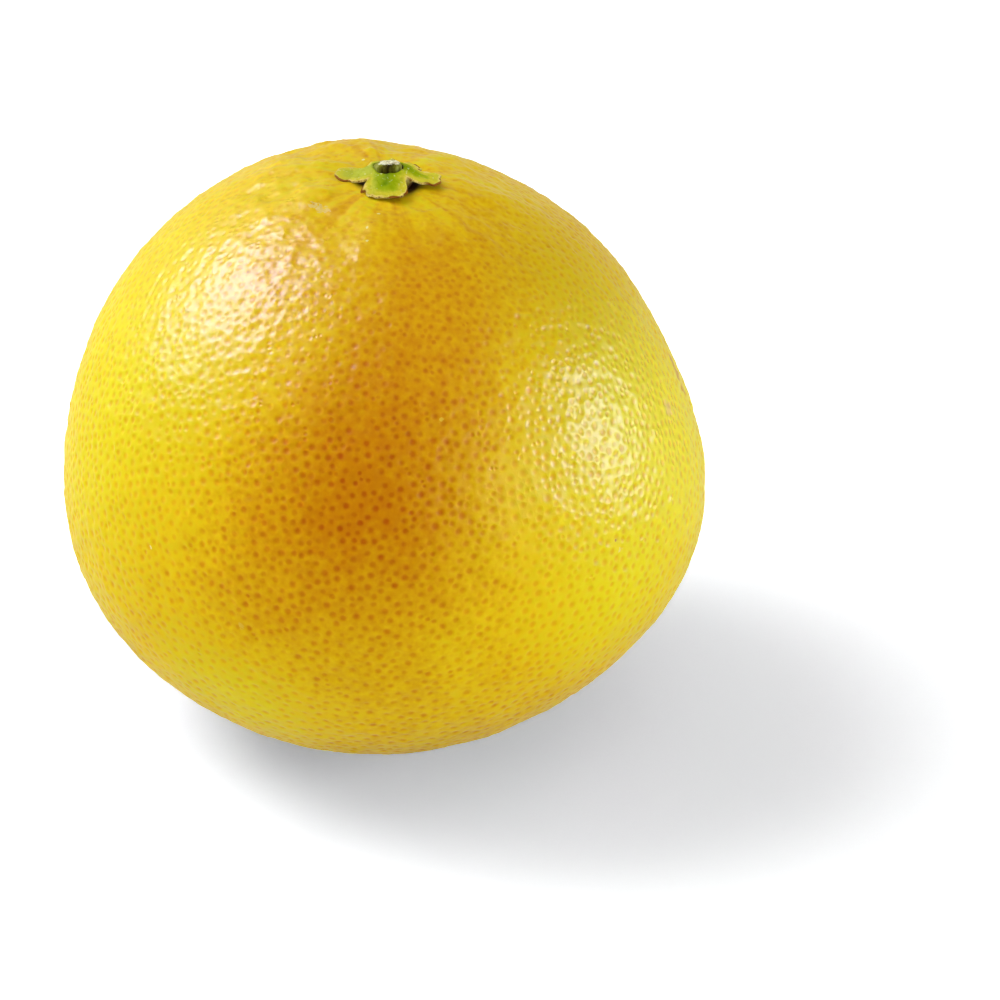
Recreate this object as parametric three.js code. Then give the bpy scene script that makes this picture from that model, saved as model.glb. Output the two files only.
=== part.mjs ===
// A whole grapefruit, as picked: the fruit, the five-lobed green calyx on its stem end,
// and the short cut stub of the stem that stands in the calyx.
// Millimetres, +Z up through the stem end, the fruit resting on a small flat spot at Z = 0.

import * as THREE from 'three';
import { mergeVertices } from 'three/addons/utils/BufferGeometryUtils.js';

// The fruit: a ball that is a little flat from stem to base.
const equatorRadius = 49.85;
const poleRadius = 47;
const restingCut = 0.85; // how much of the base is flat, measured up from its lowest point
const skinTurns = 64; // facets round the fruit
const skinRings = 40; // facets from stem to base

// Low swellings that make the fruit uneven. Each has a number of waves in a full turn,
// a height, and the direction in degrees of its first crest.
const wavesAboutY = [
  { count: 2, height: 0.72, crest: 308 },
  { count: 3, height: 1.37, crest: 340 },
  { count: 4, height: 0.18, crest: 355 },
  { count: 5, height: 0.39, crest: 341 },
  { count: 6, height: 0.24, crest: 341 },
  { count: 7, height: 0.2, crest: 352 },
];
const wavesAboutZ = [
  { count: 2, height: 0.5, crest: 30 },
  { count: 3, height: 0.35, crest: -75 },
];

// The stem end: a shallow dimple with low furrows running out of it. The skin round the
// stem is also levelled a little, because the swellings tip it towards +X.
const stemPlace = new THREE.Vector2(1.9, -0.4);
const dimpleDepth = 1.4;
const dimpleReach = 9;
const levelSlope = 0.085;
const levelReach = 15;
const furrows = { count: 7, height: 0.35, crest: 3, distance: 16, spread: 7 };

// The calyx: a low dome with a socket for the stem, running out into five lobes.
// Each lobe has a direction in degrees, a reach from the middle, its tip's height above
// the skin at the stem, half its width at the middle, how fast that grows outwards, and
// the squareness of its end.
const lobes = [
  { turn: -95.5, reach: 7.1, lift: 0.7, halfWidth: 2.8, growth: 0.07, square: 8 },
  { turn: -5, reach: 7.9, lift: 0.7, halfWidth: 1.9, growth: 0.1, square: 3 },
  { turn: 43, reach: 6.1, lift: 0.4, halfWidth: 1.3, growth: 0.1, square: 4 },
  { turn: 123, reach: 5.2, lift: 0.4, halfWidth: 1.8, growth: 0.1, square: 4 },
  { turn: 169, reach: 8.2, lift: 0.6, halfWidth: 2.6, growth: 0, square: 3 },
];
const liftBlend = 20; // degrees over which one lobe's height passes into the next
const domeHeight = 3.6;
const domeReach = 4;
const lobeThickness = 0.7;
const calyxTurns = 80;
const socketRadius = 2.3;
const socketFloor = 1.0;
const socketShare = 0.2; // where the socket's wall is in the calyx's profile
const underside = 0; // the profile's three levels
const topside = 1;
const socketBottom = 2;

// The stem stub, cut across at a slant.
const stubRadius = 1.95;
const stubFoot = 1.3;
const stubTop = 3.2;
const stubSlant = 0.2; // the cut falls by this slope towards +Y
const stubTurns = 24;

const clearance = 0.3; // between one piece and the next

const skinFinish = new THREE.MeshStandardMaterial({ color: 0xe6b820, roughness: 0.35, metalness: 0 });
const calyxFinish = new THREE.MeshStandardMaterial({ color: 0x9db52c, roughness: 0.5, metalness: 0 });
const stubFinish = new THREE.MeshStandardMaterial({ color: 0xb3a672, roughness: 0.8, metalness: 0 });

// The sum of a list of swellings in one direction. A swelling with n waves fades out
// towards its axis as the n-th power of the distance from it, so it has no kink there.
function swell(waves, across, along) {
  const distance = Math.hypot(across, along);
  const turn = Math.atan2(along, across);
  let sum = 0;
  for (const { count, height, crest } of waves) {
    sum += height * distance ** count * Math.cos(count * (turn - THREE.MathUtils.degToRad(crest)));
  }
  return sum;
}

// How far the skin is pulled down round the stem: the dimple and the levelling, less the
// furrows' crests.
function stemHollow(x, y) {
  const distance = Math.hypot(x - stemPlace.x, y - stemPlace.y);
  const turn = Math.atan2(y - stemPlace.y, x - stemPlace.x);
  const ring = Math.exp(-(((distance - furrows.distance) / furrows.spread) ** 2));
  const wave = Math.cos(furrows.count * (turn - THREE.MathUtils.degToRad(furrows.crest)));
  const dimple = dimpleDepth * Math.exp(-((distance / dimpleReach) ** 2));
  const level = levelSlope * (stemPlace.x - x) * Math.exp(-((distance / levelReach) ** 2));
  return dimple + level - furrows.height * ring * wave;
}

// Moves every vertex of a geometry to where `place` puts it, and works out its normals again.
function reshape(geometry, place) {
  geometry.deleteAttribute('normal');
  geometry.deleteAttribute('uv');
  const merged = mergeVertices(geometry);
  const position = merged.attributes.position;
  const point = new THREE.Vector3();
  for (let i = 0; i < position.count; i += 1) {
    point.fromBufferAttribute(position, i);
    place(point);
    position.setXYZ(i, point.x, point.y, point.z);
  }
  merged.computeVertexNormals();
  return merged;
}

// The fruit: a unit ball with its poles on Z, grown to the fruit's radii and swellings,
// hollowed at the stem and cut flat at the base.
function fruitGeometry() {
  const ball = new THREE.SphereGeometry(1, skinTurns, skinRings).rotateX(Math.PI / 2);
  let lowest = 0;
  const skin = reshape(ball, (point) => {
    const growth = swell(wavesAboutY, point.x, point.z) + swell(wavesAboutZ, point.x, point.y);
    const upperHalf = point.z > 0;
    point.set(
      point.x * (equatorRadius + growth),
      point.y * (equatorRadius + growth),
      point.z * (poleRadius + growth),
    );
    if (upperHalf) point.z -= stemHollow(point.x, point.y);
    lowest = Math.min(lowest, point.z);
  });
  return reshape(skin, (point) => {
    point.z = Math.max(point.z, lowest + restingCut);
  });
}

// The height of the skin at each place, found by dropping a ray onto the fruit.
function skinProbe(fruit) {
  const ray = new THREE.Raycaster();
  const down = new THREE.Vector3(0, 0, -1);
  return (x, y) => {
    ray.set(new THREE.Vector3(x, y, 2 * poleRadius), down);
    return ray.intersectObject(fruit)[0].point.z;
  };
}

// The calyx's edge in one direction: each lobe is a strap that widens outwards, ends at its
// reach with rounded corners, and meets the next lobe in a notch.
function calyxEdge(turn) {
  let edge = 0;
  for (const lobe of lobes) {
    const off = turn - THREE.MathUtils.degToRad(lobe.turn);
    const opening = Math.abs(Math.sin(off)) - lobe.growth * Math.cos(off);
    if (Math.cos(off) <= 0) continue;
    const side = lobe.halfWidth / Math.max(opening, 0.01);
    const end = lobe.reach ** -lobe.square + side ** -lobe.square;
    edge = Math.max(edge, end ** (-1 / lobe.square));
  }
  return edge;
}

// The height that the lobes lead out to in one direction, blended from lobe to lobe.
function calyxLift(turn) {
  let sum = 0;
  let weights = 0;
  for (const lobe of lobes) {
    const off = turn - THREE.MathUtils.degToRad(lobe.turn);
    const degrees = THREE.MathUtils.radToDeg(Math.atan2(Math.sin(off), Math.cos(off)));
    const weight = Math.exp(-((degrees / liftBlend) ** 2));
    sum += weight * lobe.lift;
    weights += weight;
  }
  return sum / weights;
}

// How far out a point of the calyx's profile lies in a direction where its edge is at `edge`.
// The underside runs from the middle to the edge, the top from the socket's wall to the edge,
// and the socket's floor from its wall to the middle.
function calyxRadius(share, level, edge) {
  if (level === underside) return share * edge;
  if (level === socketBottom) return (share / socketShare) * socketRadius;
  return socketRadius + ((share - socketShare) / (1 - socketShare)) * (edge - socketRadius);
}

// The calyx: a lathe profile of (share of the way to the edge, level), with each vertex moved
// to its radius and height. The lobes are even in thickness, and the dome fills up towards the
// middle, where it is one clearance above the skin.
function calyxGeometry(skinAt) {
  const profile = [];
  for (const share of [0, 0.25, 0.5, 0.75, 1]) profile.push(new THREE.Vector2(share, underside));
  for (const share of [1, 0.88, 0.76, 0.64, 0.52, 0.4, 0.3]) profile.push(new THREE.Vector2(share, topside));
  for (const level of [topside, socketBottom]) profile.push(new THREE.Vector2(socketShare, level));
  profile.push(new THREE.Vector2(0, socketBottom));
  const seat = skinAt(stemPlace.x, stemPlace.y);
  const lathe = new THREE.LatheGeometry(profile, calyxTurns).rotateX(Math.PI / 2);
  return reshape(lathe, (point) => {
    const turn = Math.atan2(point.y, point.x);
    const level = Math.round(point.z);
    const share = Math.hypot(point.x, point.y);
    const radius = calyxRadius(share, level, calyxEdge(turn));
    const x = stemPlace.x + radius * Math.cos(turn);
    const y = stemPlace.y + radius * Math.sin(turn);
    const lowest = skinAt(x, y) + clearance;
    const lift = calyxLift(turn);
    const top = Math.max(
      seat + lift + (domeHeight - lift) * Math.exp(-((radius / domeReach) ** 2)),
      lowest + lobeThickness,
    );
    const thickness = lobeThickness + domeHeight * (1 - share);
    const heights = {
      [underside]: Math.max(lowest, top - thickness),
      [topside]: top,
      [socketBottom]: seat + socketFloor,
    };
    point.set(x, y, heights[level]);
  });
}

// The stub: a short round peg whose top is cut at a slant.
function stubGeometry(skinAt) {
  const seat = skinAt(stemPlace.x, stemPlace.y);
  const profile = [
    new THREE.Vector2(0, stubFoot),
    new THREE.Vector2(stubRadius, stubFoot),
    new THREE.Vector2(stubRadius, (stubFoot + stubTop) / 2),
    new THREE.Vector2(stubRadius, stubTop),
    new THREE.Vector2(0, stubTop),
  ];
  const peg = new THREE.LatheGeometry(profile, stubTurns).rotateX(Math.PI / 2);
  return reshape(peg, (point) => {
    const slant = (point.z - stubFoot) / (stubTop - stubFoot) * stubSlant;
    point.set(point.x + stemPlace.x, point.y + stemPlace.y, seat + point.z - slant * point.y);
  });
}

function piece(name, geometry, finish) {
  const mesh = new THREE.Mesh(geometry, finish);
  mesh.name = name;
  return mesh;
}

const grapefruit = new THREE.Group();
const fruit = piece('fruit', fruitGeometry(), skinFinish);
const skinAt = skinProbe(fruit);
grapefruit.add(fruit);
grapefruit.add(piece('calyx', calyxGeometry(skinAt), calyxFinish));
grapefruit.add(piece('stem_stub', stubGeometry(skinAt), stubFinish));

// The origin is the middle of the fruit's box, at the level that it stands on.
const box = new THREE.Box3().setFromObject(grapefruit);
const middle = box.getCenter(new THREE.Vector3());
grapefruit.position.set(-middle.x, -middle.y, -box.min.z);

export default grapefruit;
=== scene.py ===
# A whole grapefruit on a plain white table: the pitted, waxy peel with its furrowed stem end,
# the green calyx and the cut stub of the stem. Shapes are worked out in millimetres round the
# fruit's middle, then put in their place in metres.
import bpy
import numpy as np
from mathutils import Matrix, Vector
from mathutils.geometry import delaunay_2d_cdt


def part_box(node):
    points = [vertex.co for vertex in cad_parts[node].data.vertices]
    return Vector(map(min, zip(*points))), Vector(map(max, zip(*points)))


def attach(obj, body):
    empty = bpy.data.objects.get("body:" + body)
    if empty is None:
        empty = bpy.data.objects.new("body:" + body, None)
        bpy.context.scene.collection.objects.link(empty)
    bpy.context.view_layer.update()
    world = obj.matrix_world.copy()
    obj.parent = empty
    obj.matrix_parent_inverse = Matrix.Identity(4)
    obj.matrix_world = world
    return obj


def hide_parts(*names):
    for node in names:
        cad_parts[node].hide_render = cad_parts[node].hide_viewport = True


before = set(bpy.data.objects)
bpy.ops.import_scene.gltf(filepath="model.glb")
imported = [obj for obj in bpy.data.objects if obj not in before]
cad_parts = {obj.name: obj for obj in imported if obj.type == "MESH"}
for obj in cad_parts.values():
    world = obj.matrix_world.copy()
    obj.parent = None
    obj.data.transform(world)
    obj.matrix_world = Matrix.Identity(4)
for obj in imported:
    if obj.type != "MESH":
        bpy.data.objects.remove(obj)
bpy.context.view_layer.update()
fruitLow, fruitHigh = (np.array(corner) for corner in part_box("fruit"))
millimetre = 0.001
print("frame loaded:", sorted(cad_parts))


def unit(vectors):
    return vectors / np.linalg.norm(vectors, axis=-1, keepdims=True)


def smoothStep(low, high, values):
    # 0 below low, 1 above high, and an S curve between them
    t = np.clip((values - low) / (high - low), 0, 1)
    return t * t * (3 - 2 * t)


def ripple(points, wavelength, seed, count=48):
    # a smooth random field: plane waves of one wavelength, in random directions and phases,
    # summed and scaled to a spread of about one
    draw = np.random.default_rng(seed)
    heading = unit(draw.normal(size=(count, 3))) * 2 * np.pi / wavelength
    phase = draw.uniform(0, 2 * np.pi, count)
    return np.cos(points @ heading.T + phase).sum(1) * np.sqrt(2 / count)


def ripples(points, waves, seed):
    # several ripples added up, each given by its wavelength and its height
    return sum(height * ripple(points, wavelength, seed + number)
               for number, (wavelength, height) in enumerate(waves))


def onCircle(turn):
    # the point of a circle of one at each turn, for ripples that have to close round it
    return np.stack([np.cos(turn), np.sin(turn), 0 * turn], -1)


def buildMesh(name, points, faces):
    # points in metres, faces as lists of corner numbers, every face smooth
    mesh = bpy.data.meshes.new(name)
    mesh.from_pydata(points.tolist(), [], faces)
    mesh.polygons.foreach_set("use_smooth", np.ones(len(faces), bool))
    mesh.update()
    piece = bpy.data.objects.new(name, mesh)
    bpy.context.collection.objects.link(piece)
    return piece


def latheFaces(rings, turns):
    # faces of a grid of rings by turns that closes round, with one point at each end
    ring, turn = np.meshgrid(np.arange(rings - 1), np.arange(turns), indexing="ij")
    here, beside = ring * turns + turn, ring * turns + (turn + 1) % turns
    quads = np.stack([here, beside, beside + turns, here + turns], -1).reshape(-1, 4)
    first, last = rings * turns, rings * turns + 1
    lastRing = (rings - 1) * turns
    around = np.arange(turns)
    after = (around + 1) % turns
    start = np.stack([np.full(turns, first), after, around], -1)
    end = np.stack([np.full(turns, last), lastRing + around, lastRing + after], -1)
    return quads.tolist() + np.concatenate([start, end]).tolist()


def latheMesh(name, points, first, last, topFirst=False):
    # points is rings by turns by 3, in metres, from the end point first to the end point last.
    # Where the rings start at the top, the faces are turned over, so that they look outwards
    places = np.concatenate([points.reshape(-1, 3), [first, last]])
    faces = latheFaces(*points.shape[:2])
    return buildMesh(name, places, [face[::-1] for face in faces] if topFirst else faces)


def storeNumbers(piece, name, kind, domain, values):
    # keeps numbers on the mesh for its material
    layer = piece.data.attributes.new(name, kind, domain)
    key = "vector" if kind == "FLOAT_VECTOR" else "value"
    layer.data.foreach_set(key, np.ascontiguousarray(values, np.float32).ravel())


fruitShape = {
    "equatorRadius": 49.85,
    "poleRadius": 47.0,
    "restingCut": 0.85,  # how far over its lowest point the base is flat
    "restingSoftness": 0.12,
    # swellings: waves in a full turn, height, direction of the first crest in degrees
    "wavesAboutY": [
        (2, 0.72, 308), (3, 1.37, 340), (4, 0.18, 355),
        (5, 0.39, 341), (6, 0.24, 341), (7, 0.20, 352),
    ],
    "wavesAboutZ": [(2, 0.5, 30), (3, 0.35, -75)],
    "stemX": 1.9,
    "stemY": -0.4,
    "dimpleDepth": 1.4,
    "dimpleReach": 9.0,
    "levelSlope": 0.085,
    "levelReach": 15.0,
    "furrowCount": 7,
    "furrowHeight": 0.35,
    "furrowCrest": 3,
    "furrowDistance": 16.0,
    "furrowSpread": 7.0,
    "wrinkles": [(0.9, 0.10), (0.42, 0.06)],  # wavelength round a circle of one, height
    "wrinkleDistance": 10.0,
    "wrinkleSpread": 5.0,
    "wrinkleSeed": 60,
    # lumps and hollows: direction from the middle, height, reach over a ball of radius one
    "lumps": [
        ((-0.14, 0.32, 0.94), 0.45, 0.07),
        ((-0.05, -0.29, 0.95), -0.30, 0.07),
        ((-0.16, -0.10, 0.98), 0.22, 0.08),
        ((0.14, -0.22, 0.97), 0.18, 0.07),
        ((0.30, 0.12, 0.95), 0.25, 0.10),
    ],
}


def swell(waves, across, along):
    # each swelling is its height, times the distance from its axis to the power of its number
    # of waves, times the cosine of that many turns
    distance, turn = np.hypot(across, along), np.arctan2(along, across)
    return sum(h * distance ** n * np.cos(n * (turn - np.radians(crest))) for n, h, crest in waves)


def stemHollow(x, y):
    # a bell-shaped dimple and a slope that levels the skin round the stem, less a ring of
    # cosine furrows and finer, uneven wrinkles that run out of it
    s = fruitShape
    dx, dy = x - s["stemX"], y - s["stemY"]
    distance, turn = np.hypot(dx, dy), np.arctan2(dy, dx)
    ring = np.exp(-((distance - s["furrowDistance"]) / s["furrowSpread"]) ** 2)
    wave = np.cos(s["furrowCount"] * (turn - np.radians(s["furrowCrest"])))
    dimple = s["dimpleDepth"] * np.exp(-(distance / s["dimpleReach"]) ** 2)
    level = -s["levelSlope"] * dx * np.exp(-(distance / s["levelReach"]) ** 2)
    wrinkle = ripples(onCircle(turn), s["wrinkles"], s["wrinkleSeed"])
    near = np.exp(-((distance - s["wrinkleDistance"]) / s["wrinkleSpread"]) ** 2)
    return dimple + level - s["furrowHeight"] * ring * wave - wrinkle * near


def bareSkin(direction):
    # the skin in each direction from the middle, before pits: a flattened ball plus its
    # swellings and lumps, height * e^-(distance / reach)^2, hollowed at the stem
    s = fruitShape
    x, y, z = direction.T
    growth = swell(s["wavesAboutY"], x, z) + swell(s["wavesAboutZ"], x, y)
    for middle, height, reach in s["lumps"]:
        away = np.linalg.norm(direction - unit(np.array(middle)), axis=1)
        growth = growth + height * np.exp(-(away / reach) ** 2)
    radii = np.array([s["equatorRadius"], s["equatorRadius"], s["poleRadius"]])
    points = direction * (radii + growth[:, None])
    points[:, 2] -= np.where(z > 0, stemHollow(points[:, 0], points[:, 1]), 0)
    return points


def lowestSkin(count=20000, seed=3, spread=(0.25, 0.25, 0.02)):
    # the lowest height of the skin, in directions scattered round straight down
    scattered = np.random.default_rng(seed).normal(size=(count, 3)) * spread
    return bareSkin(unit(scattered - [0, 0, 1]))[:, 2].min()


restingLevel = lowestSkin() + fruitShape["restingCut"]


def flattenBase(points):
    # heights below the resting level bend softly up to it:
    # softness * ln(1 + e^(height / softness))
    soft = fruitShape["restingSoftness"]
    points[:, 2] = restingLevel + soft * np.logaddexp(0, (points[:, 2] - restingLevel) / soft)
    return points


def outwardAt(direction, step=0.01):
    # the skin's outward direction, from two small steps along it
    slanting = (0.31, 0.17, 0.93)  # any direction that isn't the stem's
    side = unit(np.cross(direction, slanting))
    up = np.cross(direction, side)
    here = bareSkin(direction)
    beside, above = (bareSkin(unit(direction + way * step)) for way in (side, up))
    return unit(np.cross(beside - here, above - here))


def skinHeight(x, y, rounds=5):
    # the height of the skin over a place near the stem, found by steering a direction to it
    direction = unit(np.stack([x, y, np.full_like(x, fruitShape["poleRadius"])], -1))
    for _ in range(rounds):
        off = np.stack([x, y], -1) - bareSkin(direction)[:, :2]
        direction[:, :2] += off / fruitShape["equatorRadius"]
        direction = unit(direction)
    return bareSkin(direction)[:, 2]


peel = {
    "pits": 9900,
    "crowding": 0.45,  # how much denser the pits are at the top than at the middle
    "seed": 11,
    "scatter": 0.28,  # random nudge, in pit spacings
    "easings": 2,
    "easing": 0.5,  # share of the way to the middle of its neighbours
    "radius": (0.34, 0.55),  # mm
    "sizeSeed": 12,
    "grading": (2.2, 1.3),  # the two powers of a beta spread of sizes: mostly large pits
    "room": 1.22,  # what a pit needs to itself, in its radii
    "edgeShare": 0.46,  # the most of the way to a neighbour that it may take
    "topFading": 0.6,  # share of their size and strength that pits lose towards the stem
    "topZone": (0.35, 0.95),  # heights where that starts and ends, on a ball of radius one
    "ringShare": 1.9,  # where the ring of vertices round a pit lies, in pit radii
    "depth": (0.04, 0.155),  # mm
    "depthScatter": (0.1, 1.0),
    "rimDepth": 0.1,  # how deep the ring round a pit lies, as a share of its depth
    "bulge": (0.0, 0.05),  # how far the skin between pits stands out, mm
    # how strongly a pit is coloured: the least, what its size adds, the scatter of that, and
    # the share of it that is lost near the stem
    "strength": 0.34,
    "sizeStrength": 0.64,
    "strengthScatter": (0.65, 1.05),
    "topPaling": 0.4,
    "waves": [(9, 0.038), (4, 0.036), (2.4, 0.036), (1.7, 0.016)],  # wavelength and height, mm
    "waveSeed": 31,
    "topWaves": [(6.5, 0.100), (3.4, 0.070)],  # lumps round the stem
    "topSeed": 51,
    "topReach": (0.86, 0.95),  # heights where they start and are full, on a ball of radius one
}


def triangulate(sites):
    # Delaunay triangles of points on the unit ball: flattened from the top pole, triangulated
    # in the plane, and closed round the pole, which is the last site
    flat = sites[:-1, :2] / (1 - sites[:-1, 2:])
    wholeShape, tolerance = 0, 1e-12
    corners = [Vector(site) for site in flat.tolist()]
    triangles = np.array(delaunay_2d_cdt(corners, [], [], wholeShape, tolerance)[2])
    pole = len(sites) - 1
    a, b, c = (sites[triangles[:, k]] for k in range(3))
    inward = (np.cross(b - a, c - a) * a).sum(1) < 0
    triangles[inward] = triangles[inward][:, ::-1]
    start, end = triangles.ravel(), np.roll(triangles, -1, 1).ravel()
    there, back = start * len(sites) + end, end * len(sites) + start
    single = ~np.isin(back, there)
    rim = np.stack([end[single], start[single], np.full(single.sum(), pole)], -1)
    return np.concatenate([triangles, rim])


def scatterPits(p):
    # a golden-angle spiral over the ball, nudged at random and then eased towards the middle
    # of each pit's neighbours, which spreads them out. Its density grows with height as
    # 1 + crowding * h, so the share below h, ((h + 1) + crowding * (h^2 - 1) / 2) / 2, is even
    draw = np.random.default_rng(p["seed"])
    count = p["pits"]
    k = np.arange(count) + 0.5
    crowding, turn = p["crowding"], k * np.pi * (3 - np.sqrt(5))
    height = (np.sqrt((1 - crowding) ** 2 + 4 * crowding * (1 - k / count)) - 1) / crowding
    level = np.sqrt(1 - height ** 2)
    sites = np.stack([level * np.cos(turn), level * np.sin(turn), height], -1)
    spacing = np.sqrt(4 * np.pi / count)
    sites = unit(sites + draw.normal(scale=p["scatter"] * spacing, size=sites.shape))
    sites = np.concatenate([sites, [[0, 0, 1]]])
    for _ in range(p["easings"]):
        triangles = triangulate(sites)
        start, end = triangles.ravel(), np.roll(triangles, -1, 1).ravel()
        around = np.zeros_like(sites)
        np.add.at(around, start, sites[end])
        around = around / np.bincount(start)[:, None] - sites
        around[-1] = 0
        sites = unit(sites + around * p["easing"])
    return sites, triangulate(sites)


def peelMesh(p):
    # the skin moved outwards: by minus the depth in the middle of each pit, by minus a share of
    # it on the ring round the pit, by a bulge between pits, and by ripples all over
    sites, triangles = scatterPits(p)
    draw = np.random.default_rng(p["sizeSeed"])
    total, faceCount = len(sites), len(triangles)
    middle = bareSkin(sites)
    start, end = triangles.ravel(), np.roll(triangles, -1, 1).ravel()
    length = np.linalg.norm(middle[end] - middle[start], axis=1)
    nearest = np.full(total, np.inf)
    np.minimum.at(nearest, start, length)
    # pit size: random, smaller near the top, and no more than the nearest neighbour leaves room for
    grade = draw.beta(*p["grading"], total)
    grade = grade * (1 - p["topFading"] * smoothStep(*p["topZone"], sites[:, 2]))
    radius = p["radius"][0] + (p["radius"][1] - p["radius"][0]) * grade
    radius = np.minimum(radius, p["edgeShare"] * nearest / p["room"])
    scatter = draw.uniform(*p["depthScatter"], total) ** 2
    depth = p["depth"][0] + (p["depth"][1] - p["depth"][0]) * grade * scatter
    strength = p["strength"] + p["sizeStrength"] * grade * draw.uniform(*p["strengthScatter"], total)
    strength *= 1 - p["topPaling"] * smoothStep(*p["topReach"], sites[:, 2])
    # one ring vertex near the start of each directed edge
    ring = np.minimum(p["ringShare"] * radius[start], p["edgeShare"] * length)
    ringSite = unit(sites[start] + (sites[end] - sites[start]) * (ring / length)[:, None])
    centreSite = unit(sites[triangles].sum(1))
    directions = np.concatenate([sites, ringSite, centreSite])
    between = draw.uniform(*p["bulge"], faceCount)
    rise = np.concatenate([-depth, -p["rimDepth"] * depth[start], between])
    points = bareSkin(directions)
    rise += ripples(points, p["waves"], p["waveSeed"])
    nearStem = smoothStep(*p["topReach"], directions[:, 2])
    rise += nearStem * ripples(points, p["topWaves"], p["topSeed"])
    points = flattenBase(points + outwardAt(directions) * rise[:, None])
    # each triangle of pits is cut into a fan at each corner and a six-sided middle
    edge = np.arange(3 * faceCount)
    order = np.argsort(start * total + end)
    back = order[np.searchsorted((start * total + end)[order], end * total + start)]
    near, far = (total + edge).reshape(-1, 3), (total + back).reshape(-1, 3)
    fans = np.stack([triangles, near, np.roll(far, 1, 1)], -1)
    loop = np.stack([near, far], -1).reshape(-1, 6)
    centre = np.repeat(total + 3 * faceCount + np.arange(faceCount), 6).reshape(-1, 6)
    middles = np.stack([centre, loop, np.roll(loop, -1, 1)], -1)
    faces = np.concatenate([fans.reshape(-1, 3), middles.reshape(-1, 3)])
    # how far each corner of a fan is from its pit, in pit radii; far away in the middles
    fanFaces, farAway = fans.reshape(-1, 3), 9.0
    offset = np.full((len(faces), 3, 3), [farAway, 0, 0])
    away = (points[fanFaces] - points[fanFaces[:, :1]]) / radius[fanFaces[:, :1]][..., None]
    offset[:len(fanFaces)] = away
    power = np.zeros((len(faces), 3))
    power[:len(fanFaces)] = strength[fanFaces[:, :1]]
    return points, faces, offset, power


def cubeLayout(points, faces, filled=0.95):
    # the faces laid out like an unfolded cube, three by two: each goes to the side of the cube
    # that it looks at, by the angles of its corners
    mid = points[faces].mean(1)
    axis = np.abs(mid).argmax(1)
    side = axis * 2 + (np.take_along_axis(mid, axis[:, None], 1)[:, 0] > 0)
    axes = [((axis + number) % 3)[:, None, None].repeat(3, 1) for number in range(3)]
    main, first, second = (np.take_along_axis(points[faces], each, 2)[..., 0] for each in axes)
    aside = np.stack([first * np.sign(main), second], -1)
    inside = 0.5 + np.arctan2(aside, np.abs(main)[..., None]) / (np.pi / 2) * filled
    cell = np.stack([side % 3, side // 3], -1)[:, None]
    return (inside + cell) / [3, 2]


peelPoints, peelFaces, pitOffset, pitPower = peelMesh(peel)
localLow, localHigh = peelPoints.min(0), peelPoints.max(0)
boxLow, boxHigh = fruitLow / millimetre, fruitHigh / millimetre
place = (boxLow + boxHigh) / 2 - (localLow + localHigh) / 2
place[2] = boxLow[2] - localLow[2]


def inPlace(points):
    return (points + place) * millimetre


fruit = buildMesh("grapefruit_peel", inPlace(peelPoints), peelFaces.tolist())
storeNumbers(fruit, "pitOffset", "FLOAT_VECTOR", "CORNER", pitOffset)
storeNumbers(fruit, "pitPower", "FLOAT", "CORNER", pitPower)
bakeMap = fruit.data.uv_layers.new(name="OFBake")
bakeMap.data.foreach_set("uv", cubeLayout(peelPoints, peelFaces).astype(np.float32).ravel())
print("peel:", len(peelFaces), "triangles, place", np.round(place, 3))


calyxShape = {
    # each lobe: direction in degrees, reach, height of its end over the skin at the stem, half
    # its width at the stem, how much that grows for each mm outwards, squareness of its end
    "lobes": [
        (-95.5, 7.1, 0.50, 2.80, 0.07, 8),
        (-5, 7.9, 0.50, 1.90, 0.10, 3),
        (43, 6.1, 0.15, 1.30, 0.10, 4),
        (123, 5.2, 0.10, 1.80, 0.10, 4),
        (172, 8.2, 0.55, 3.10, 0.0, 3.4),
    ],
    "liftBlend": 20,
    "domeHeight": 3.6,
    "domeReach": 4.0,
    "thickness": 0.36,
    "rimCurl": 0.16,
    "socketRadius": 2.22,
    "socketFloor": 1.3,
    "wallTop": 0.25,  # how far the socket's wall stops below its lip
    "lipRound": (0.30, 0.22),  # across and down
    "lipWidth": 0.35,
    "clearance": 0.02,  # between the underside and the skin
    "topGap": 0.05,  # the least height of the top over the skin, past its own thickness
    "curlWidth": 1.2,
    # the underside's hidden middle: distances where it is whole and where it ends, how far down
    # it goes, and how deep into the skin
    "hidden": (2.8, 4.4),
    "hiddenDrop": 3.0,
    "hiddenSink": 0.35,
    "spurs": [(-131, 1.3, 3.5), (-64, 0.5, 4)],  # direction, length, width in degrees
    "ragged": (0.22, 0.08),  # wavelength round a circle of one, height
    "dents": [(2.6, 0.08), (1.3, 0.05), (0.7, 0.02)],  # wavelength and height, mm
    # dried, brown places on the rim: distance from the stem, direction, width
    "dryTips": [
        (6.6, -131, 0.8), (6.1, 43, 1.2), (6.4, -64, 0.8),
        (6.6, -82, 0.9), (7.0, -14, 1.3), (6.9, 184, 1.2),
    ],
    "yellowFrom": 4.0,  # distance from which the lobes turn yellower, and how fast
    "yellowing": 0.45,
    "turns": 440,
    "topRings": 28,
    "underRings": 12,
    "seed": 5,
    "dentSeed": 6,
}
seat = skinHeight(np.array([fruitShape["stemX"]]), np.array([fruitShape["stemY"]]))[0]


def turnFrom(turn, degrees):
    # the signed angle from a direction, between -pi and pi
    return (turn - np.radians(degrees) + np.pi) % (2 * np.pi) - np.pi


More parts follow.
